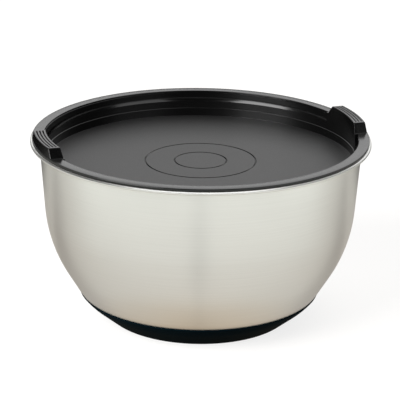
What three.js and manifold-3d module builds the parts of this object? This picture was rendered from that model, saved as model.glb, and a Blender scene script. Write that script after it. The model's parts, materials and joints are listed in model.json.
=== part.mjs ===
// A stainless steel mixing bowl on a silicone base, with a press-in plastic lid.
// Millimetres, +Z up. The origin is the centre of the face that the bowl stands on.
// The lid's two grips lie on the X axis.
import * as THREE from 'three';
import { mergeVertices } from 'three/addons/utils/BufferGeometryUtils.js';
import Module from 'manifold-3d';

const wasm = await Module();
wasm.setup();

// Gaps between pieces that touch
const seatGap = 0.3;
const bondGap = 0.2;
const plugClearance = 0.3;

// Steel bowl: angles are degrees away from vertical, and bend radii are those of its outer face
const sheet = 0.8;
const rimHeight = 140.5;
const mouthRadius = 121.7;
const wallDraft = 4.2;
const bellyRadius = 108;
const coneAngle = 31;
const coneRise = 14;
const heelRadius = 50;
const footAngle = 50.5;
const footRise = 7;
const cornerRadius = 10;
const lipReach = 7;
const lipFillet = 2;
const lipBeadRadius = 1.3;

// Silicone base: a cup that follows the bowl's foot and closes its underside
const siliconeFloor = 2.7;
const siliconeWall = 0.7;
const siliconeHeight = 20.9;
const siliconeEdgeRound = 0.3;
const standRound = 2;

// Lid: its drops are measured down from the top of its flange, and its step rises from the panel
const flangeThickness = 1.7;
const flangeSetback = 1.4;
const flangeRound = 0.8;
const recessRound = 0.4;
const neckWall = 1.25;
const neckStepDrop = 1.2;
const neckStepReach = 0.3;
const lidWall = 1.5;
const coveDrop = 4.3;
const ledgeDrop = 8.4;
const ledgeReach = 0.6;
const ledgeLip = 0.8;
const plugChamfer = 1;
const stepReach = 0.4;
const ledgeTaper = 0.9;
const panelDrop = 20.35;
const stepRise = 6.15;
const panelFillet = 0.4;
const ringRadii = [40.9, 19.2];
const ringWidth = 0.9;
const ringDepth = 0.4;

// Grips: two lugs that stand on the flange, each with lengthwise grooves along its top
const gripHeight = 6.8;
const gripLength = 57;
const gripEndRun = 5.5;
const gripEndRound = 1.2;
const gripInset = 0.3;
const gripTopWidth = 6.7;
const gripBaseSetback = 0.4;
const gripEdgeRound = 0.6;
const gripRoot = 0.6;
const grooveCount = 3;
const grooveWidth = 0.8;
const grooveDepth = 0.7;
const groovePitch = 1.65;
const grooveEndMargin = 2;

// Fineness of the round forms
const turnSteps = 64;
const bendSteps = 6;
const smallSteps = 3;
const beadSteps = 7;

const radians = THREE.MathUtils.degToRad;
const sine = (degrees) => Math.sin(radians(degrees));
const cosine = (degrees) => Math.cos(radians(degrees));
const tangent = (degrees) => Math.tan(radians(degrees));

// A wall seen in section, traced downwards. Each point carries the wall's angle away from
// vertical there, which gives its outward normal, so any skin at a set distance can be drawn.
class WallTrace {
  constructor(radius, height, angle) {
    this.points = [{ radius, height, angle }];
  }

  get end() {
    return this.points[this.points.length - 1];
  }

  // Run straight on, down by a height
  fall(drop) {
    const { radius, height, angle } = this.end;
    this.points.push({ radius: radius - drop * tangent(angle), height: height - drop, angle });
    return this;
  }

  // Bend inwards, round a centre inside the bowl, to a flatter angle
  bend(target, bendRadius, steps) {
    const from = this.end;
    const centreRadius = from.radius - bendRadius * cosine(from.angle);
    const centreHeight = from.height + bendRadius * sine(from.angle);
    for (let i = 1; i <= steps; i += 1) {
      const angle = THREE.MathUtils.lerp(from.angle, target, i / steps);
      this.points.push({
        radius: centreRadius + bendRadius * cosine(angle),
        height: centreHeight - bendRadius * sine(angle),
        angle,
      });
    }
    return this;
  }
}

// The points of a traced wall, moved outwards by a distance
function skin(points, distance) {
  return points.map(({ radius, height, angle }) => new THREE.Vector2(
    radius + distance * cosine(angle),
    height - distance * sine(angle),
  ));
}

// The part of a traced wall that lies below a height
function below(points, height) {
  const next = points.findIndex((point) => point.height < height);
  const above = points[next - 1];
  const share = (above.height - height) / (above.height - points[next].height);
  const cut = {
    radius: THREE.MathUtils.lerp(above.radius, points[next].radius, share),
    height,
    angle: THREE.MathUtils.lerp(above.angle, points[next].angle, share),
  };
  return [cut, ...points.slice(next)];
}

// An outline through corners [radius, height, rounding], with each rounding as an arc
function rounded(corners, closed) {
  const outline = [];
  corners.forEach(([radius, height, rounding], i) => {
    const corner = new THREE.Vector2(radius, height);
    const open = !closed && (i === 0 || i === corners.length - 1);
    if (!rounding || open) {
      outline.push(corner);
      return;
    }
    const before = new THREE.Vector2(...corners.at(i - 1)).sub(corner).normalize();
    const after = new THREE.Vector2(...corners[(i + 1) % corners.length]).sub(corner).normalize();
    const halfAngle = Math.acos(before.dot(after)) / 2;
    const centre = before.clone().add(after).setLength(rounding / Math.sin(halfAngle)).add(corner);
    const start = before.clone().setLength(rounding / Math.tan(halfAngle)).add(corner).sub(centre);
    const turn = Math.sign(before.cross(after)) * (2 * halfAngle - Math.PI);
    for (let step = 0; step <= smallSteps; step += 1) {
      const spoke = start.clone().rotateAround(new THREE.Vector2(), (turn * step) / smallSteps);
      outline.push(spoke.add(centre));
    }
  });
  return outline;
}

// Turn a section outline about the Z axis
function turned(outline, closed) {
  const profile = [...outline];
  if (THREE.ShapeUtils.area(profile) < 0) {
    profile.reverse();
  }
  if (closed) {
    profile.push(profile[0].clone());
  }
  return new THREE.LatheGeometry(profile, turnSteps).rotateX(Math.PI / 2);
}

// Make a solid of a closed geometry, for joining and cutting
function solid(geometry) {
  const bare = geometry.index ? geometry.toNonIndexed() : geometry.clone();
  bare.deleteAttribute('normal');
  bare.deleteAttribute('uv');
  const welded = mergeVertices(bare);
  const corners = welded.index.array;
  const triVerts = [];
  for (let i = 0; i < corners.length; i += 3) {
    const [a, b, c] = corners.slice(i, i + 3);
    if (a !== b && b !== c && c !== a) {
      triVerts.push(a, b, c);
    }
  }
  return new wasm.Manifold(new wasm.Mesh({
    numProp: 3,
    vertProperties: new Float32Array(welded.attributes.position.array),
    triVerts: new Uint32Array(triVerts),
  }));
}

// Turn a solid back into a geometry
function geometryOf(body) {
  const mesh = body.getMesh();
  const geometry = new THREE.BufferGeometry();
  geometry.setAttribute('position', new THREE.BufferAttribute(mesh.vertProperties, 3));
  geometry.setIndex(new THREE.BufferAttribute(mesh.triVerts, 1));
  geometry.computeVertexNormals();
  return geometry;
}

function piece(name, geometry, color, roughness, metalness) {
  const material = new THREE.MeshStandardMaterial({ color, roughness, metalness });
  const mesh = new THREE.Mesh(geometry, material);
  mesh.name = name;
  return mesh;
}

// The bowl's outer face, from the foot of the lip's fillet down to the middle of the floor
const floorHeight = siliconeFloor + bondGap;
const wallTop = rimHeight - sheet - lipFillet * (1 - sine(wallDraft));
const cornerRise = cornerRadius * (1 - sine(footAngle));
const heelRise = heelRadius * (sine(footAngle) - sine(coneAngle));
const bellyRise = bellyRadius * (sine(coneAngle) - sine(wallDraft));
const wallRise = wallTop - floorHeight - cornerRise - footRise - heelRise - coneRise - bellyRise;
const wallTopRadius = mouthRadius + sheet * cosine(wallDraft);
const bowlTrace = new WallTrace(wallTopRadius, wallTop, wallDraft)
  .fall(wallRise)
  .bend(coneAngle, bellyRadius, bendSteps)
  .fall(coneRise)
  .bend(footAngle, heelRadius, smallSteps)
  .fall(footRise)
  .bend(90, cornerRadius, smallSteps);

// The inner face of the straight wall at a height
function mouthRadiusAt(height) {
  const inside = skin(bowlTrace.points.slice(0, 1), -sheet)[0];
  return inside.x - (inside.y - height) * tangent(wallDraft);
}

const lipRadius = wallTopRadius + lipReach;

// A drawn steel shell whose lip turns out flat and ends in a rolled bead
function bowlShell() {
  const filletCentre = new THREE.Vector2(
    wallTopRadius + lipFillet * cosine(wallDraft),
    rimHeight - sheet - lipFillet,
  );
  const filletAt = (angle, radius) => new THREE.Vector2(
    filletCentre.x - radius * cosine(angle),
    filletCentre.y + radius * sine(angle),
  );
  const beadCentre = new THREE.Vector2(lipRadius - lipBeadRadius, rimHeight - lipBeadRadius);
  const beadRise = lipBeadRadius - sheet;
  const beadStart = Math.PI - Math.asin(beadRise / lipBeadRadius);
  const beadEnd = 2.5 * Math.PI;
  const underLip = [];
  const overLip = [];
  for (let i = 1; i <= smallSteps; i += 1) {
    const angle = THREE.MathUtils.lerp(wallDraft, 90, i / smallSteps);
    underLip.push(filletAt(angle, lipFillet));
    overLip.push(filletAt(angle, lipFillet + sheet));
  }
  const bead = [];
  for (let i = 0; i <= beadSteps; i += 1) {
    const angle = THREE.MathUtils.lerp(beadStart, beadEnd, i / beadSteps);
    const spoke = new THREE.Vector2(Math.cos(angle), Math.sin(angle));
    bead.push(spoke.multiplyScalar(lipBeadRadius).add(beadCentre));
  }
  const outside = skin(bowlTrace.points, 0).reverse();
  const inside = skin(bowlTrace.points, -sheet);
  const outline = [
    new THREE.Vector2(0, floorHeight),
    ...outside,
    ...underLip,
    ...bead,
    ...overLip.reverse(),
    ...inside,
    new THREE.Vector2(0, floorHeight + sheet),
  ];
  return piece('bowl_shell', turned(outline), 0xc9c6bd, 0.3, 1);
}

// A moulded cup with an even wall round the foot, a flat floor and a rounded standing edge
function siliconeBase() {
  const covered = below(bowlTrace.points, siliconeHeight);
  const footEnd = covered.findLastIndex((point) => point.angle === footAngle);
  const outside = skin(covered.slice(0, footEnd + 1), bondGap + siliconeWall);
  const inside = skin(covered, bondGap);
  const foot = outside[footEnd];
  const standRadius = foot.x - foot.y * tangent(footAngle);
  const standEdge = rounded([[0, 0], [standRadius, 0, standRound], [foot.x, foot.y]], false);
  const edgeRound = Math.min(siliconeEdgeRound, 0.4 * siliconeWall);
  const topEdge = rounded(
    [outside[1], outside[0], inside[0], inside[1]].map(({ x, y }) => [x, y, edgeRound]),
    false,
  );
  const outline = [
    ...standEdge,
    ...outside.slice(2, -1).reverse(),
    ...topEdge,
    ...inside.slice(2),
    new THREE.Vector2(0, siliconeFloor),
  ];
  return piece('silicone_base', turned(outline), 0x17181a, 0.85, 0);
}

// The lid's places, worked out from the bowl that it closes
const flangeUnder = rimHeight + seatGap;
const flangeTop = flangeUnder + flangeThickness;
const flangeRadius = lipRadius - flangeSetback;
const ledgeHeight = flangeTop - ledgeDrop;
const plugFoot = ledgeHeight - ledgeLip;
const plugRadius = mouthRadiusAt(plugFoot) - plugClearance;
const recessRadius = plugRadius - neckWall;

// The lid's section: a flange over the lip, a stepped neck that plugs the mouth, a ledge under
// a cove, a stepped wall and a flat sunk panel with two engraved rings
function lidSection() {
  const neckRadius = recessRadius - neckStepReach;
  const neckStep = flangeTop - neckStepDrop;
  const ledgeRadius = neckRadius - ledgeReach;
  const stepRadius = ledgeRadius - ledgeTaper - stepReach;
  const panelTop = flangeTop - panelDrop;
  const panelUnder = panelTop - lidWall;
  const stepHeight = panelTop + stepRise;
  const rings = ringRadii.flatMap((radius) => [
    [radius + ringWidth / 2, panelTop],
    [radius, panelTop - ringDepth],
    [radius - ringWidth / 2, panelTop],
  ]);
  const coveRise = ledgeDrop - coveDrop;
  const coveTurn = 2 * Math.atan(ledgeReach / coveRise);
  const coveRadius = coveRise / Math.sin(coveTurn);
  const cove = [];
  for (let i = 0; i <= smallSteps; i += 1) {
    const angle = (coveTurn * i) / smallSteps;
    cove.push([
      neckRadius - coveRadius * (1 - Math.cos(angle)),
      flangeTop - coveDrop - coveRadius * Math.sin(angle),
    ]);
  }
  return rounded([
    [0, panelUnder],
    [stepRadius + lidWall, panelUnder, panelFillet + lidWall],
    [stepRadius + lidWall, stepHeight],
    [ledgeRadius + lidWall, plugFoot - plugChamfer],
    [plugRadius, plugFoot],
    [plugRadius, flangeUnder],
    [flangeRadius, flangeUnder],
    [flangeRadius, flangeTop, flangeRound],
    [recessRadius, flangeTop, recessRound],
    [recessRadius, neckStep],
    [neckRadius, neckStep - neckStepReach],
    ...cove,
    [stepRadius + stepReach, stepHeight + stepReach],
    [stepRadius, stepHeight],
    [stepRadius, panelTop, panelFillet],
    ...rings,
    [0, panelTop],
  ], false);
}

// A bar out along +X whose section is a trapezium, to cut a length out of a ring
function endBar(halfTop, halfBase, bottom, top, rounding) {
  const outline = rounded([
    [-halfBase, bottom],
    [halfBase, bottom],
    [halfTop, top, rounding],
    [-halfTop, top, rounding],
  ], true);
  const bar = new THREE.ExtrudeGeometry(new THREE.Shape(outline), {
    depth: flangeRadius,
    bevelEnabled: false,
  });
  bar.rotateX(Math.PI / 2);
  bar.rotateZ(Math.PI / 2);
  return solid(bar);
}

// A lug that curves with the flange, with grooves that stop short of its ends
function grip() {
  const bottom = flangeTop - gripRoot;
  const top = flangeTop + gripHeight;
  const innerRadius = recessRadius + gripInset;
  const topRadius = innerRadius + gripTopWidth;
  const ring = solid(turned(rounded([
    [innerRadius, bottom],
    [flangeRadius - gripBaseSetback, bottom],
    [flangeRadius - gripBaseSetback, flangeTop],
    [topRadius, top, gripEdgeRound],
    [innerRadius, top, gripEdgeRound],
  ], true), true));
  const halfBase = gripLength / 2;
  const halfTop = halfBase - gripEndRun;
  const rootRun = (gripEndRun * gripRoot) / gripHeight;
  let lug = ring.intersect(endBar(halfTop, halfBase + rootRun, bottom, top, gripEndRound));
  const halfGroove = halfTop - grooveEndMargin;
  const grooveBar = endBar(halfGroove, halfGroove, top - 2 * grooveDepth, top + grooveDepth, 0);
  for (let i = 0; i < grooveCount; i += 1) {
    const radius = innerRadius + gripTopWidth / 2 + (i - (grooveCount - 1) / 2) * groovePitch;
    const groove = solid(turned([
      new THREE.Vector2(radius - grooveWidth / 2, top + grooveDepth),
      new THREE.Vector2(radius - grooveWidth / 2, top - grooveDepth),
      new THREE.Vector2(radius + grooveWidth / 2, top - grooveDepth),
      new THREE.Vector2(radius + grooveWidth / 2, top + grooveDepth),
    ], true));
    lug = lug.subtract(groove.intersect(grooveBar));
  }
  return lug;
}

// One moulding: the lid's turned section with a grip at each end of the X axis
function lid() {
  const lug = grip();
  const oppositeLug = solid(geometryOf(lug).rotateZ(Math.PI));
  const moulding = solid(turned(lidSection())).add(lug).add(oppositeLug);
  return piece('lid', geometryOf(moulding), 0x1d1d1c, 0.4, 0);
}

const mixingBowl = new THREE.Group();
mixingBowl.add(bowlShell(), siliconeBase(), lid());

export default mixingBowl;
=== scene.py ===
import json
import math

import bmesh
import bpy
from mathutils import Matrix, Vector


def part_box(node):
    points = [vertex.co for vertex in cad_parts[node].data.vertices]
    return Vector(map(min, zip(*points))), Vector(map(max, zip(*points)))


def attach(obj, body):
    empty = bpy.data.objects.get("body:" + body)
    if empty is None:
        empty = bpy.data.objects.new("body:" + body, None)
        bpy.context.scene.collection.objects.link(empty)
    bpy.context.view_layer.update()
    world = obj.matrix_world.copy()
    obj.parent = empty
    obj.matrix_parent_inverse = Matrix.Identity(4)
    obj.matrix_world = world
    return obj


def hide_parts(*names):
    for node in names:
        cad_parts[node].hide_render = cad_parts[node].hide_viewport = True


# A stainless mixing bowl on a black silicone base, closed by a black press-in lid.
# Everything is in metres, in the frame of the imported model, with the lid's grips on the X axis.
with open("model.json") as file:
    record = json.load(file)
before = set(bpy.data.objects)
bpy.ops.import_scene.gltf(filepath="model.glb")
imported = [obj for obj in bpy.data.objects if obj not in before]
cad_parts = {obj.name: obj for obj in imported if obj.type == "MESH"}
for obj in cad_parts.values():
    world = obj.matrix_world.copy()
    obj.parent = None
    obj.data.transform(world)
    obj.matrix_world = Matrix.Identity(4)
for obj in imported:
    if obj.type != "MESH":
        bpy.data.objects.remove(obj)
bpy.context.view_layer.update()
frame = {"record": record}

MM = 0.001
shell_low, shell_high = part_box("bowl_shell")
base_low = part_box("silicone_base")[0]
lid_low, lid_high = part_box("lid")
mounts = {mount["name"]: Vector(mount["pos_m"]) for mount in frame["record"]["mounts"]}

# Steel bowl: leans are angles away from upright, and bend radii are those of the outer face
SHEET = 0.8 * MM
RIM_HEIGHT = shell_high.z
LIP_RADIUS = shell_high.x
SHELL_FLOOR = shell_low.z
WALL_LEAN = math.radians(4.2)
BELLY_RADIUS = 108 * MM
CONE_LEAN = math.radians(31)
CONE_RISE = 14 * MM
HEEL_RADIUS = 50 * MM
FOOT_LEAN = math.radians(50.5)
FOOT_RISE = 7 * MM
CORNER_RADIUS = 10 * MM
LIP_REACH = 7 * MM
LIP_FILLET = 2 * MM
LIP_BEAD = 1.3 * MM

# Silicone base
BOND_GAP = 0.2 * MM
CUP_WALL = 0.7 * MM
CUP_HEIGHT = 20.9 * MM
CUP_EDGE = 0.28 * MM
STAND_EDGE = 2 * MM

# Lid, from its flange down to its sunk panel
SEAT_GAP = 0.3 * MM
PLUG_GAP = 0.3 * MM
FLANGE_THICK = 1.7 * MM
FLANGE_EDGE = 0.5 * MM
FLANGE_RADIUS = lid_high.x
RECESS_EDGE = 0.4 * MM
NECK_WALL = 1.25 * MM
NECK_STEP_DROP = 1.2 * MM
NECK_STEP_REACH = 0.3 * MM
LID_WALL = 1.5 * MM
COVE_DROP = 4.3 * MM
LEDGE_DROP = 8.4 * MM
LEDGE_REACH = 1 * MM
LEDGE_LIP = 0.8 * MM
LEDGE_EDGE = 0.2 * MM
LEDGE_TAPER = 0.5 * MM
PLUG_CHAMFER = 1 * MM
STEP_REACH = 0.36 * MM
STEP_DROP = 0.23 * MM
STEP_RISE = 6.15 * MM
PANEL_FILLET = 0.15 * MM
PANEL_HEIGHT = mounts["lid_panel"].z
RING_RADII = (42.1 * MM, 19.8 * MM)
RING_WIDTH = 1.3 * MM
RING_DEPTH = 0.7 * MM
MOULD_EDGE = 0.1 * MM

# Grips on the flange
GRIP_TOP = lid_high.z
GRIP_LENGTH = 57 * MM
GRIP_END_RUN = 5.5 * MM
GRIP_END_ROUND = 1.2 * MM
GRIP_FOOT_FILLET = 0.8 * MM
GRIP_TOE = 1.6 * MM
GRIP_SINK = 0.05 * MM
GRIP_BOSS = 2 * MM
GRIP_BOSS_GAP = 0.72 * MM
GRIP_WIDTH = 9 * MM
GRIP_SETBACK = 0.4 * MM
GRIP_EDGE = 0.6 * MM
GRIP_ROOT = 0.6 * MM
GROOVES = 3
GROOVE_WIDTH = 1.2 * MM
GROOVE_DEPTH = 1.2 * MM
GROOVE_PITCH = 2.35 * MM
GROOVE_MARGIN = 2 * MM
GROOVE_RUN_OUT = 0.7 * MM
GROOVE_EDGE = 0.1 * MM

# Fineness of the meshes, and the angle from which an edge is drawn sharp
TURN_STEPS = 288
STRAIGHT_STEPS = 8
BEND_STEPS = 18
BEAD_STEPS = 18
EDGE_STEPS = 6
SHARP_ANGLE = math.radians(32)

# A point nearer to the axis than this lies on it
ON_AXIS = 0.0001 * MM


def fall(wall, drop):
    """Run a wall straight on, down by a height."""
    radius, height, lean = wall[-1]
    for step in range(1, STRAIGHT_STEPS + 1):
        down = drop * step / STRAIGHT_STEPS
        wall.append((radius - down * math.tan(lean), height - down, lean))


def bend(wall, to_lean, bend_radius):
    """Bend a wall inwards, round a centre inside the bowl, to a flatter lean."""
    radius, height, lean = wall[-1]
    centre_radius = radius - bend_radius * math.cos(lean)
    centre_height = height + bend_radius * math.sin(lean)
    for step in range(1, BEND_STEPS + 1):
        turn = lean + (to_lean - lean) * step / BEND_STEPS
        wall.append((
            centre_radius + bend_radius * math.cos(turn),
            centre_height - bend_radius * math.sin(turn),
            turn,
        ))


def skin(wall, distance):
    """The wall's points, moved outwards."""
    return [
        (radius + distance * math.cos(lean), height - distance * math.sin(lean))
        for radius, height, lean in wall
    ]


def arc(centre, radius, start, end, steps):
    """Points on an arc in the section."""
    turns = [start + (end - start) * step / steps for step in range(steps + 1)]
    return [(centre[0] + radius * math.cos(t), centre[1] + radius * math.sin(t)) for t in turns]


def rounded(corners):
    """An outline through corners (across, up, rounding), with each rounding as an arc."""
    outline = [Vector(corners[0][:2])]
    for before, corner, after in zip(corners, corners[1:], corners[2:]):
        point = Vector(corner[:2])
        rounding = corner[2] if len(corner) > 2 else 0
        if not rounding:
            outline.append(point)
            continue
        back = (Vector(before[:2]) - point).normalized()
        on = (Vector(after[:2]) - point).normalized()
        half = back.angle(on) / 2
        centre = point + (back + on).normalized() * rounding / math.sin(half)
        spoke = point + back * rounding / math.tan(half) - centre
        turn = math.copysign(math.pi - 2 * half, on.x * back.y - on.y * back.x)
        for step in range(EDGE_STEPS + 1):
            outline.append(centre + Matrix.Rotation(turn * step / EDGE_STEPS, 2) @ spoke)
    outline.append(Vector(corners[-1][:2]))
    return [tuple(point) for point in outline]


def piece(name, mesh, body, node, material):
    """Finish a mesh as a smooth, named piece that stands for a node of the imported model."""
    bmesh.ops.recalc_face_normals(mesh, faces=mesh.faces)
    data = bpy.data.meshes.new(name)
    mesh.to_mesh(data)
    mesh.free()
    data.shade_smooth()
    data.set_sharp_from_angle(angle=SHARP_ANGLE)
    data.materials.append(material)
    made = bpy.data.objects.new(name, data)
    bpy.context.scene.collection.objects.link(made)
    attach(made, body)
    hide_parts(node)
    return made


def turned(outline):
    """Turn a section round the axis. One drawn from axis to axis gives a closed mesh.

    Its UV map holds the share of the turn and the length along the section.
    """
    mesh = bmesh.new()
    section = mesh.loops.layers.uv.new("section")
    rings = []
    lengths = [0.0]
    for start, end in zip(outline, outline[1:]):
        lengths.append(lengths[-1] + math.dist(start, end))
    for radius, height in outline:
        spots = TURN_STEPS if radius > ON_AXIS else 1
        turns = [2 * math.pi * spot / spots for spot in range(spots)]
        rings.append([
            mesh.verts.new((radius * math.cos(t), radius * math.sin(t), height)) for t in turns
        ])
    for upper, lower, start, end in zip(rings, rings[1:], lengths, lengths[1:]):
        for spot in range(TURN_STEPS):
            corners = {}
            for ring, turn, length in (
                (upper, spot, start), (upper, spot + 1, start),
                (lower, spot + 1, end), (lower, spot, end),
            ):
                corners.setdefault(ring[turn % len(ring)], (turn / TURN_STEPS, length))
            face = mesh.faces.new(list(corners))
            for loop in face.loops:
                loop[section].uv = corners[loop.vert]
    return mesh


# The bowl's outer wall, from under its lip to the edge of its floor
wall_top = RIM_HEIGHT - SHEET - LIP_FILLET * (1 - math.sin(WALL_LEAN))
wall_top_radius = LIP_RADIUS - LIP_REACH
lower_rise = (
    CORNER_RADIUS * (1 - math.sin(FOOT_LEAN))
    + FOOT_RISE
    + HEEL_RADIUS * (math.sin(FOOT_LEAN) - math.sin(CONE_LEAN))
    + CONE_RISE
    + BELLY_RADIUS * (math.sin(CONE_LEAN) - math.sin(WALL_LEAN))
)
bowl_wall = [(wall_top_radius, wall_top, WALL_LEAN)]
fall(bowl_wall, wall_top - SHELL_FLOOR - lower_rise)
bend(bowl_wall, CONE_LEAN, BELLY_RADIUS)
fall(bowl_wall, CONE_RISE)
bend(bowl_wall, FOOT_LEAN, HEEL_RADIUS)
fall(bowl_wall, FOOT_RISE)
foot_end = len(bowl_wall)
bend(bowl_wall, math.pi / 2, CORNER_RADIUS)


def bowl_section():
    """A drawn shell whose lip turns out flat and ends in a rolled bead."""
    fillet = (wall_top_radius + LIP_FILLET * math.cos(WALL_LEAN), RIM_HEIGHT - SHEET - LIP_FILLET)
    bead = (LIP_RADIUS - LIP_BEAD, RIM_HEIGHT - LIP_BEAD)
    bead_start = math.pi - math.asin((LIP_BEAD - SHEET) / LIP_BEAD)
    bead_end = 2 * math.pi + math.pi / 2
    upright = math.pi - WALL_LEAN
    return [
        (0, SHELL_FLOOR),
        *reversed(skin(bowl_wall, 0)),
        *arc(fillet, LIP_FILLET, upright, math.pi / 2, EDGE_STEPS)[1:],
        *arc(bead, LIP_BEAD, bead_start, bead_end, BEAD_STEPS),
        *arc(fillet, LIP_FILLET + SHEET, math.pi / 2, upright, EDGE_STEPS)[:-1],
        *skin(bowl_wall, -SHEET),
        (0, SHELL_FLOOR + SHEET),
    ]


def base_section():
    """A moulded cup with an even wall round the foot and a rounded edge to stand on."""
    top_spot = next(spot for spot, place in enumerate(bowl_wall) if place[1] < CUP_HEIGHT)
    outside = skin(bowl_wall[top_spot:foot_end], BOND_GAP + CUP_WALL)
    inside = skin(bowl_wall[top_spot:], BOND_GAP)
    ankle = outside[-1]
    stand_radius = ankle[0] - ankle[1] * math.tan(FOOT_LEAN)
    stand = rounded([(0, 0), (stand_radius, 0, STAND_EDGE), ankle])
    top = rounded([outside[1], (*outside[0], CUP_EDGE), (*inside[0], CUP_EDGE), inside[1]])
    return [*stand, *reversed(outside[2:-1]), *top, *inside[2:], (0, inside[-1][1])]


# The lid's places, from the bowl that it closes
flange_under = RIM_HEIGHT + SEAT_GAP
flange_top = flange_under + FLANGE_THICK
ledge_height = flange_top - LEDGE_DROP
plug_foot = ledge_height - LEDGE_LIP
step_height = PANEL_HEIGHT + STEP_RISE
mouth_radius = wall_top_radius - SHEET * math.cos(WALL_LEAN)
mouth_height = wall_top + SHEET * math.sin(WALL_LEAN)
plug_radius = mouth_radius - (mouth_height - plug_foot) * math.tan(WALL_LEAN) - PLUG_GAP
recess_radius = plug_radius - NECK_WALL


def lid_section():
    """A flange over the lip, a neck that plugs the mouth, a cove and ledge, a step, and a sunk
    panel with two engraved rings."""
    neck_radius = recess_radius - NECK_STEP_REACH
    neck_step = flange_top - NECK_STEP_DROP
    ledge_radius = neck_radius - LEDGE_REACH
    step_radius = ledge_radius - LEDGE_TAPER - STEP_REACH
    under = lid_low.z
    cove_rise = LEDGE_DROP - COVE_DROP
    cove_turn = 2 * math.atan(LEDGE_REACH / cove_rise)
    cove_radius = cove_rise / math.sin(cove_turn)
    cove_centre = (neck_radius - cove_radius, flange_top - COVE_DROP)
    cove = arc(cove_centre, cove_radius, 0, -cove_turn, EDGE_STEPS)
    rings = []
    for radius in RING_RADII:
        rings += [
            (radius + RING_WIDTH / 2, PANEL_HEIGHT),
            (radius, PANEL_HEIGHT - RING_DEPTH),
            (radius - RING_WIDTH / 2, PANEL_HEIGHT),
        ]
    return rounded([
        (0, under),
        (step_radius + LID_WALL, under, PANEL_FILLET + LID_WALL),
        (step_radius + LID_WALL, step_height),
        (ledge_radius + LID_WALL, plug_foot - PLUG_CHAMFER, MOULD_EDGE),
        (plug_radius, plug_foot, MOULD_EDGE),
        (plug_radius, flange_under, MOULD_EDGE),
        (FLANGE_RADIUS, flange_under, MOULD_EDGE),
        (FLANGE_RADIUS, flange_top, FLANGE_EDGE),
        (recess_radius, flange_top, RECESS_EDGE),
        (recess_radius, neck_step, MOULD_EDGE),
        (neck_radius, neck_step - NECK_STEP_REACH, MOULD_EDGE),
        *cove[:-1],
        (*cove[-1], LEDGE_EDGE),
        (step_radius + STEP_REACH, step_height + STEP_DROP, MOULD_EDGE),
        (step_radius, step_height, MOULD_EDGE),
        (step_radius, PANEL_HEIGHT, PANEL_FILLET),
        *rings,
        (0, PANEL_HEIGHT),
    ])


def evenly(points, longest):
    """Add points to a line, so that no stretch is longer than given."""
    line = [points[0]]
    for start, end in zip(points, points[1:]):
        parts = max(1, math.ceil(math.dist(start, end) / longest))
        for part in range(1, parts + 1):
            line.append(tuple(Vector(start).lerp(Vector(end), part / parts)))
    return line


def grip_mesh(turn):
    """A lug that curves with the flange and runs down the inner wall to the step, with sloped ends
    that meet the flange in a fillet, and lengthwise grooves that stop short of the ends."""
    half_base = GRIP_LENGTH / 2
    half_top = half_base - GRIP_END_RUN
    toe = half_base + GRIP_TOE
    sunk = flange_top - GRIP_SINK
    along = evenly(rounded([
        (-toe, sunk),
        (-half_base, sunk, GRIP_FOOT_FILLET),
        (-half_top, GRIP_TOP, GRIP_END_ROUND),
        (half_top, GRIP_TOP, GRIP_END_ROUND),
        (half_base, sunk, GRIP_FOOT_FILLET),
        (toe, sunk),
    ]), GROOVE_RUN_OUT / 2)
    inner = recess_radius - GRIP_BOSS
    outer_top = inner + GRIP_WIDTH
    outer_base = FLANGE_RADIUS - GRIP_SETBACK
    slope = (outer_base - outer_top) / (GRIP_TOP - flange_top)
    middle = inner + GRIP_WIDTH / 2
    notches = []
    for groove in range(GROOVES):
        across = middle + (groove - (GROOVES - 1) / 2) * GROOVE_PITCH
        notches += [
            (across - GROOVE_WIDTH / 2, 0, GROOVE_EDGE),
            (across, -GROOVE_DEPTH),
            (across + GROOVE_WIDTH / 2, 0, GROOVE_EDGE),
        ]
    crown = rounded([(inner + GRIP_EDGE, 0), *notches, (outer_top - GRIP_EDGE, 0)])
    bottom = flange_top - GRIP_ROOT
    boss_foot = step_height + GRIP_BOSS_GAP
    buried = recess_radius + NECK_WALL / 2
    mesh = bmesh.new()
    section = mesh.loops.layers.uv.new("section")
    rows = []
    for length, height in along:
        groove_share = (half_top - GROOVE_MARGIN - abs(length)) / GROOVE_RUN_OUT
        groove_share = min(1, max(0, groove_share))
        outer = outer_top + (GRIP_TOP - height) * slope
        edge = min(GRIP_EDGE, (height - bottom) / 2)
        stretch = (outer - inner - 2 * edge) / (GRIP_WIDTH - 2 * GRIP_EDGE)
        row = [(buried, bottom), (buried, boss_foot), (inner, boss_foot)]
        row += arc((inner + edge, height - edge), edge, math.pi, math.pi / 2, EDGE_STEPS)
        row += [
            (inner + edge + (across - inner - GRIP_EDGE) * stretch, height + drop * groove_share)
            for across, drop in crown[1:-1]
        ]
        row += arc((outer - edge, height - edge), edge, math.pi / 2, 0, EDGE_STEPS)
        row += [(outer + (height - bottom) * slope, bottom)]
        rows.append([
            mesh.verts.new((math.sqrt(radius ** 2 - length ** 2), length, up)) for radius, up in row
        ])
    for near, far in zip(rows, rows[1:]):
        for spot in range(len(near)):
            following = (spot + 1) % len(near)
            mesh.faces.new((near[spot], near[following], far[following], far[spot]))
    mesh.faces.new(rows[0])
    mesh.faces.new(reversed(rows[-1]))
    for face in mesh.faces:
        for loop in face.loops:
            loop[section].uv = (loop.vert.co.y, loop.vert.co.x + loop.vert.co.z)
    bmesh.ops.rotate(mesh, verts=mesh.verts, matrix=Matrix.Rotation(turn, 3, "Z"))
    return mesh


# Noise stays mostly between these two values
NOISE_LOW = 0.3
NOISE_HIGH = 0.7

# Sockets of a Mix node that mixes colours
MIX_SHARE = 0
MIX_FROM = 6
MIX_TO = 7
MIX_RESULT = 2


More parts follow.
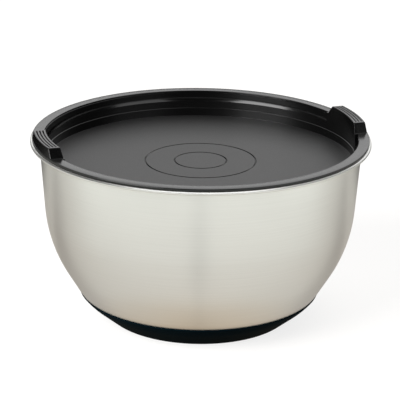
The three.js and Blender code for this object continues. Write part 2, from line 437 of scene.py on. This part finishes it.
def linear(hex_colour):
    """An sRGB hex colour as linear red, green, blue and alpha."""
    shares = [int(hex_colour[place:place + 2], 16) / 255 for place in (1, 3, 5)]
    return (*(s / 12.92 if s <= 0.04045 else ((s + 0.055) / 1.055) ** 2.4 for s in shares), 1)


def add(tree, kind, inputs=None, **settings):
    """Add a node with its settings, and set or link its inputs."""
    node = tree.nodes.new("ShaderNode" + kind)
    for name, value in settings.items():
        setattr(node, name, value)
    for name, value in (inputs or {}).items():
        if isinstance(value, bpy.types.NodeSocket):
            tree.links.new(value, node.inputs[name])
        else:
            node.inputs[name].default_value = value
    return node


def blank_finish(name):
    """A new material whose node tree is still empty."""
    material = bpy.data.materials.new(name)
    material.use_nodes = True
    material.node_tree.nodes.clear()
    return material, material.node_tree


def brushed_stainless():
    """Stainless sheet, drawn and then brushed with an abrasive belt while it spins.

    The fine scratches run round the bowl, so reflections are drawn out up and down the wall and
    stay narrow across it, and faint lines show round it. The belt's grit leaves scratches of
    about 0.05 mm, far finer than the picture can show, so they are drawn 0.7 mm apart. Handling
    leaves the sheet a little duller in places.
    """
    material, tree = blank_finish("brushed_stainless_steel")
    scratch_gap = 0.7 * MM
    scratch_length = 90 * MM
    scratch_depth = 0.02 * MM
    handling_size = 45 * MM
    place = add(tree, "TexCoord").outputs["Object"]
    across = add(tree, "SeparateXYZ", {"Vector": place})
    section = add(tree, "UVMap", uv_map="section").outputs["UV"]
    down = add(tree, "SeparateXYZ", {"Vector": section}).outputs["Y"]
    spot = add(tree, "CombineXYZ", {"X": across.outputs["X"], "Y": across.outputs["Y"], "Z": down})
    stretched = add(tree, "Mapping", {
        "Vector": spot.outputs["Vector"],
        "Scale": (1 / scratch_length, 1 / scratch_length, 1 / scratch_gap),
    })
    scratches = add(tree, "TexNoise", {
        "Vector": stretched.outputs["Vector"], "Scale": 1.0, "Detail": 3.0, "Roughness": 0.6,
    }).outputs["Fac"]
    handling = add(tree, "TexNoise", {
        "Vector": place, "Scale": 1 / handling_size, "Detail": 2.0,
    }).outputs["Fac"]
    colour = add(tree, "Mix", {
        MIX_SHARE: scratches, MIX_FROM: linear("#d8d8d5"), MIX_TO: linear("#e4e4e1"),
    }, data_type="RGBA").outputs[MIX_RESULT]
    worn = add(tree, "MapRange", {
        "Value": scratches, "From Min": NOISE_LOW, "From Max": NOISE_HIGH,
        "To Min": 0.3, "To Max": 0.36,
    }).outputs["Result"]
    touched = add(tree, "MapRange", {
        "Value": handling, "From Min": NOISE_LOW, "From Max": NOISE_HIGH,
        "To Min": -0.02, "To Max": 0.02,
    }).outputs["Result"]
    rough = add(tree, "Math", {0: worn, 1: touched}, operation="ADD").outputs["Value"]
    relief = add(tree, "Bump", {"Height": scratches, "Strength": 0.06, "Distance": scratch_depth})
    round_axis = add(tree, "Tangent", direction_type="RADIAL", axis="Z")
    steel = add(tree, "BsdfPrincipled", {
        "Base Color": colour, "Metallic": 1.0, "Roughness": rough,
        "Anisotropic": 0.75, "Anisotropic Rotation": 0.25,
        "Tangent": round_axis.outputs["Tangent"], "Normal": relief.outputs["Normal"],
    })
    add(tree, "OutputMaterial", {"Surface": steel.outputs["BSDF"]})
    return material


def moulded_polypropylene(name, smoothest, roughest, gloss, grain_size, grain_height):
    """Black polypropylene, with the finish that its mould was given.

    The plastic is near black seen face on, and a soft grey where it is seen at a low angle. The
    rim is from a smooth mould and keeps soft, clear highlights. The panel is from a spark-eroded
    one, and its even grain spreads them out. That grain is about 0.15 mm, finer than the picture
    can show, so it is drawn at 0.8 mm. On the rim the same pattern is a faint waviness, 3 mm wide.
    The black is a shade lighter or darker where the plastic flowed.
    """
    material, tree = blank_finish(name)
    flow_size = 35 * MM
    place = add(tree, "TexCoord").outputs["Object"]
    grain = add(tree, "TexNoise", {
        "Vector": place, "Scale": 1 / grain_size, "Detail": 2.0, "Roughness": 0.5,
    }).outputs["Fac"]
    flow = add(tree, "TexNoise", {
        "Vector": place, "Scale": 1 / flow_size, "Detail": 3.0,
    }).outputs["Fac"]
    colour = add(tree, "Mix", {
        MIX_SHARE: flow, MIX_FROM: linear("#030303"), MIX_TO: linear("#060606"),
    }, data_type="RGBA").outputs[MIX_RESULT]
    rough = add(tree, "MapRange", {
        "Value": grain, "From Min": NOISE_LOW, "From Max": NOISE_HIGH,
        "To Min": smoothest, "To Max": roughest,
    }).outputs["Result"]
    relief = add(tree, "Bump", {"Height": grain, "Strength": 0.1, "Distance": grain_height})
    plastic = add(tree, "BsdfPrincipled", {
        "Base Color": colour, "Roughness": rough, "IOR": 1.49, "Specular IOR Level": gloss,
        "Normal": relief.outputs["Normal"],
    })
    add(tree, "OutputMaterial", {"Surface": plastic.outputs["BSDF"]})
    return material


def moulded_silicone():
    """Black silicone rubber from a matt mould.

    It is soft and dull: almost no sheen and a cold black, with a powdery grain of about 0.2 mm,
    drawn at 1 mm so that it shows.
    """
    material, tree = blank_finish("moulded_black_silicone")
    powder_size = 1 * MM
    powder_height = 0.05 * MM
    place = add(tree, "TexCoord").outputs["Object"]
    powder = add(tree, "TexNoise", {
        "Vector": place, "Scale": 1 / powder_size, "Detail": 3.0, "Roughness": 0.6,
    }).outputs["Fac"]
    colour = add(tree, "Mix", {
        MIX_SHARE: powder, MIX_FROM: linear("#030d11"), MIX_TO: linear("#08171e"),
    }, data_type="RGBA").outputs[MIX_RESULT]
    rough = add(tree, "MapRange", {
        "Value": powder, "From Min": NOISE_LOW, "From Max": NOISE_HIGH,
        "To Min": 0.6, "To Max": 0.72,
    }).outputs["Result"]
    relief = add(tree, "Bump", {"Height": powder, "Strength": 0.15, "Distance": powder_height})
    rubber = add(tree, "BsdfPrincipled", {
        "Base Color": colour, "Roughness": rough, "IOR": 1.41, "Specular IOR Level": 0.01,
        "Normal": relief.outputs["Normal"],
    })
    add(tree, "OutputMaterial", {"Surface": rubber.outputs["BSDF"]})
    return material


steel = brushed_stainless()
rim_plastic = moulded_polypropylene(
    "smooth_black_polypropylene", smoothest=0.17, roughest=0.2, gloss=0.36,
    grain_size=3 * MM, grain_height=0.001 * MM,
)
panel_plastic = moulded_polypropylene(
    "grained_black_polypropylene", smoothest=0.5, roughest=0.56, gloss=0.9,
    grain_size=0.8 * MM, grain_height=0.03 * MM,
)
silicone = moulded_silicone()

bowl = piece(
    "steel_bowl", turned(bowl_section()), "bowl", "bowl_shell", steel
)
piece("silicone_cup", turned(base_section()), "bowl", "silicone_base", silicone)
lid = piece(
    "lid_moulding", turned(lid_section()), "lid", "lid", rim_plastic
)

# The panel's top takes the grained finish, and the walls and ring grooves keep the smooth one
FACING_UP = 0.95
lid.data.materials.append(panel_plastic)
for face in lid.data.polygons:
    on_panel = abs(face.center.z - PANEL_HEIGHT) < RING_DEPTH and face.normal.z > FACING_UP
    face.material_index = 1 if on_panel else 0

for side, turn in (("right", 0), ("left", math.pi)):
    piece(
        "lid_grip_" + side, grip_mesh(turn), "lid", "lid", rim_plastic
    )

# Camera: a long lens from a little above the rim, turned so that the grips stand left and right
CAMERA_AZIMUTH = -18.0
CAMERA_ELEVATION = 19.28
CAMERA_DISTANCE = 1.5697
CAMERA_ROLL = 0.8
CAMERA_LENS = 183.84
CAMERA_SENSOR = 36
AIM = Vector((0, 0, 0.0899))


def beside(turn, distance, height):
    """A place round the bowl's axis: the turn is from the camera, in degrees to its right."""
    azimuth = math.radians(CAMERA_AZIMUTH + turn)
    return Vector((distance * math.sin(azimuth), -distance * math.cos(azimuth), height))


lens = bpy.data.cameras.new("photo_camera")
lens.lens = CAMERA_LENS
lens.sensor_width = CAMERA_SENSOR
camera = bpy.data.objects.new("photo_camera", lens)
rise = math.radians(CAMERA_ELEVATION)
out = CAMERA_DISTANCE * math.cos(rise)
up = CAMERA_DISTANCE * math.sin(rise)
camera.location = AIM + beside(0, out, up)
facing = (AIM - camera.location).to_track_quat("-Z", "Y").to_matrix()
camera.rotation_euler = (facing @ Matrix.Rotation(math.radians(CAMERA_ROLL), 3, "Z")).to_euler()
bpy.context.scene.collection.objects.link(camera)
bpy.context.scene.camera = camera

# Paper floor, which turns up at its far edge so that a low view has paper behind it too
PAPER_RADIUS = 14
PAPER_RISE = 1.85
PAPER_DROP = 0.3 * MM
PAPER_GLOW = 0.79

# Glowing sheet of painted reflections and shade just above the paper, which only reflections see
REFLECTION_SHEET_WIDTH = 3
REFLECTION_SHEET_DROP = 0.2 * MM
REFLECTION_SHEET_GLOW = 1.62

# Plain room round the set
ROOM_STRENGTH = 0.04


def seen_directly(tree):
    """1 where the picture, a reflection or a see-through surface looks, and 0 for other light."""
    path = add(tree, "LightPath")
    seen = add(tree, "Math", {
        0: path.outputs["Is Camera Ray"], 1: path.outputs["Is Glossy Ray"],
    }, operation="MAXIMUM")
    seen = add(tree, "Math", {
        0: seen.outputs["Value"], 1: path.outputs["Is Transmission Ray"],
    }, operation="MAXIMUM")
    return seen.outputs["Value"]


def stage_piece(name, mesh, material):
    """A piece of the studio, which is no part of the object."""
    data = bpy.data.meshes.new(name)
    mesh.to_mesh(data)
    mesh.free()
    data.materials.append(material)
    made = bpy.data.objects.new(name, data)
    bpy.context.scene.collection.objects.link(made)
    return made


def studio_paper():
    """A roll of warm white paper: pale enough to read as white, and it keeps the shadow."""
    material, tree = blank_finish("studio_paper")
    paper = add(tree, "BsdfDiffuse", {"Color": linear("#8e8c89")})
    share = add(tree, "Math", {0: seen_directly(tree), 1: PAPER_GLOW}, operation="MULTIPLY")
    glow = add(tree, "Emission", {"Color": linear("#ffffff"), "Strength": share.outputs["Value"]})
    both = add(tree, "AddShader", {0: paper.outputs["BSDF"], 1: glow.outputs["Emission"]})
    add(tree, "OutputMaterial", {"Surface": both.outputs["Shader"]})
    return material


def painted_reflection_sheet():
    """A glowing sheet with the steel's reflections painted on it, which the steel mirrors; it is no
    lamp.

    Its painted reflection is white well in front of the bowl, greyer beside it, and dark well
    behind it.
    Painted shade makes it greyer near the bowl, and a warm painted reflection in that shade turns
    it cream close to the foot. Two faint grey strips slant back at the sides, and a faint grey
    patch lies in front, both painted reflections. It glows and takes no light, because only
    reflections see it.
    """
    # The cream spot is a warm painted reflection in painted shade, close to the bowl's foot
    warm_reflection_spot = (0, -0.04, 0)
    strip_slant = -0.55
    strip_lead = 0.06
    patch_distance = 0.29
    patch_stretch = 0.25
    material, tree = blank_finish("painted_reflection_sheet")
    place = add(tree, "TexCoord").outputs["Object"]
    spot = add(tree, "SeparateXYZ", {"Vector": place})
    behind = spot.outputs["Y"]
    aside = add(tree, "Math", {0: spot.outputs["X"]}, operation="ABSOLUTE").outputs["Value"]
    far = add(tree, "VectorMath", {0: place}, operation="LENGTH").outputs["Value"]
    off_warm_reflection = add(tree, "VectorMath", {
        0: place, 1: warm_reflection_spot,
    }, operation="DISTANCE").outputs["Value"]
    slant = add(tree, "Math", {
        0: aside, 1: strip_slant, 2: behind,
    }, operation="MULTIPLY_ADD").outputs["Value"]
    from_strip = add(tree, "Math", {0: slant, 1: strip_lead}, operation="ADD").outputs["Value"]
    off_strip = add(tree, "Math", {0: from_strip}, operation="ABSOLUTE").outputs["Value"]
    from_patch = add(tree, "Math", {
        0: far, 1: patch_distance,
    }, operation="SUBTRACT").outputs["Value"]
    off_patch = add(tree, "Math", {0: from_patch}, operation="ABSOLUTE").outputs["Value"]
    patch = add(tree, "Math", {
        0: off_patch, 1: patch_stretch, 2: aside,
    }, operation="MULTIPLY_ADD").outputs["Value"]
    colour = linear("#f8fdf8")
    # Each tint of painted reflection and painted shade comes in between two distances, in metres
    for measure, start, end, tint in (
        (behind, -0.14, 0.06, "#d9d6d4"),  # beside the bowl
        (behind, 0.22, 0.38, "#1c1c1c"),  # well behind it
        (off_strip, 0.055, 0.03, "#e0dfdf"),  # the strips
        (far, 0.6, 0.27, "#c6bfbc"),  # near the bowl
        (off_warm_reflection, 0.1, 0.05, "#f0dec8"),  # close to the foot
        (patch, 0.05, 0.0, "#dadada"),  # the patch
    ):
        share = add(tree, "MapRange", {"Value": measure, "From Min": start, "From Max": end})
        colour = add(tree, "Mix", {
            MIX_SHARE: share.outputs["Result"], MIX_FROM: colour, MIX_TO: linear(tint),
        }, data_type="RGBA", blend_type="MULTIPLY").outputs[MIX_RESULT]
    glow = add(tree, "Emission", {"Color": colour, "Strength": REFLECTION_SHEET_GLOW})
    add(tree, "OutputMaterial", {"Surface": glow.outputs["Emission"]})
    return material


sweep = turned([(0, 0), (PAPER_RADIUS, 0), (PAPER_RADIUS, PAPER_RISE)])
floor = stage_piece("paper_sweep", sweep, studio_paper())
floor.location.z = base_low.z - PAPER_DROP

# A glowing sheet with painted reflections and shade, hidden from the camera, diffuse light and
# shadows
top = bmesh.new()
bmesh.ops.create_grid(top, x_segments=1, y_segments=1, size=REFLECTION_SHEET_WIDTH / 2)
reflection_sheet = stage_piece("painted_reflection_sheet", top, painted_reflection_sheet())
reflection_sheet.location.z = base_low.z - REFLECTION_SHEET_DROP
reflection_sheet.rotation_euler.z = math.radians(CAMERA_AZIMUTH)
reflection_sheet.visible_camera = False
reflection_sheet.visible_diffuse = False
reflection_sheet.visible_shadow = False

# Flags keep the front lamps off the steel and its painted reflection sheet, and the lip's lamp on
# the steel alone
front_flags = bpy.data.collections.new("front_flags")
for shaded in (bowl, reflection_sheet):
    front_flags.objects.link(shaded)
for shaded in front_flags.collection_objects:
    shaded.light_linking.link_state = "EXCLUDE"
steel_alone = bpy.data.collections.new("steel_alone")
steel_alone.objects.link(bowl)


def softbox(name, place, width, height, watts):
    """A soft lamp that faces the bowl."""
    lamp = bpy.data.lights.new(name, "AREA")
    lamp.shape = "RECTANGLE"
    lamp.size = width
    lamp.size_y = height
    lamp.energy = watts
    made = bpy.data.objects.new(name, lamp)
    made.location = place
    made.rotation_euler = (AIM - place).to_track_quat("-Z", "Y").to_euler()
    made.visible_camera = False
    bpy.context.scene.collection.objects.link(made)
    return made


key = softbox(
    "key_softbox", beside(turn=-50, distance=1.5, height=0.92), width=1.2, height=1.2, watts=50
)
key.light_linking.receiver_collection = front_flags
fill = softbox(
    "fill_softbox", beside(turn=50, distance=1.5, height=0.92), width=1.2, height=1.2, watts=10
)
fill.light_linking.receiver_collection = front_flags
lip_lamp = softbox(
    "lip_softbox", beside(turn=0, distance=0.7, height=1.5), width=2.4, height=1.8, watts=25
)
lip_lamp.light_linking.receiver_collection = steel_alone
softbox(
    "overhead_softbox", beside(turn=168, distance=0.8, height=1.02), width=2, height=1.6, watts=12.5
)
softbox(
    "back_softbox", beside(turn=180, distance=1.5, height=0.5), width=2, height=0.6, watts=1.3
)

world = bpy.data.worlds.new("studio_room")
bpy.context.scene.world = world
world.use_nodes = True
room = world.node_tree.nodes["Background"]
room.inputs["Color"].default_value = linear("#ffffff")
room.inputs["Strength"].default_value = ROOM_STRENGTH

bpy.context.scene.view_settings.view_transform = "Standard"
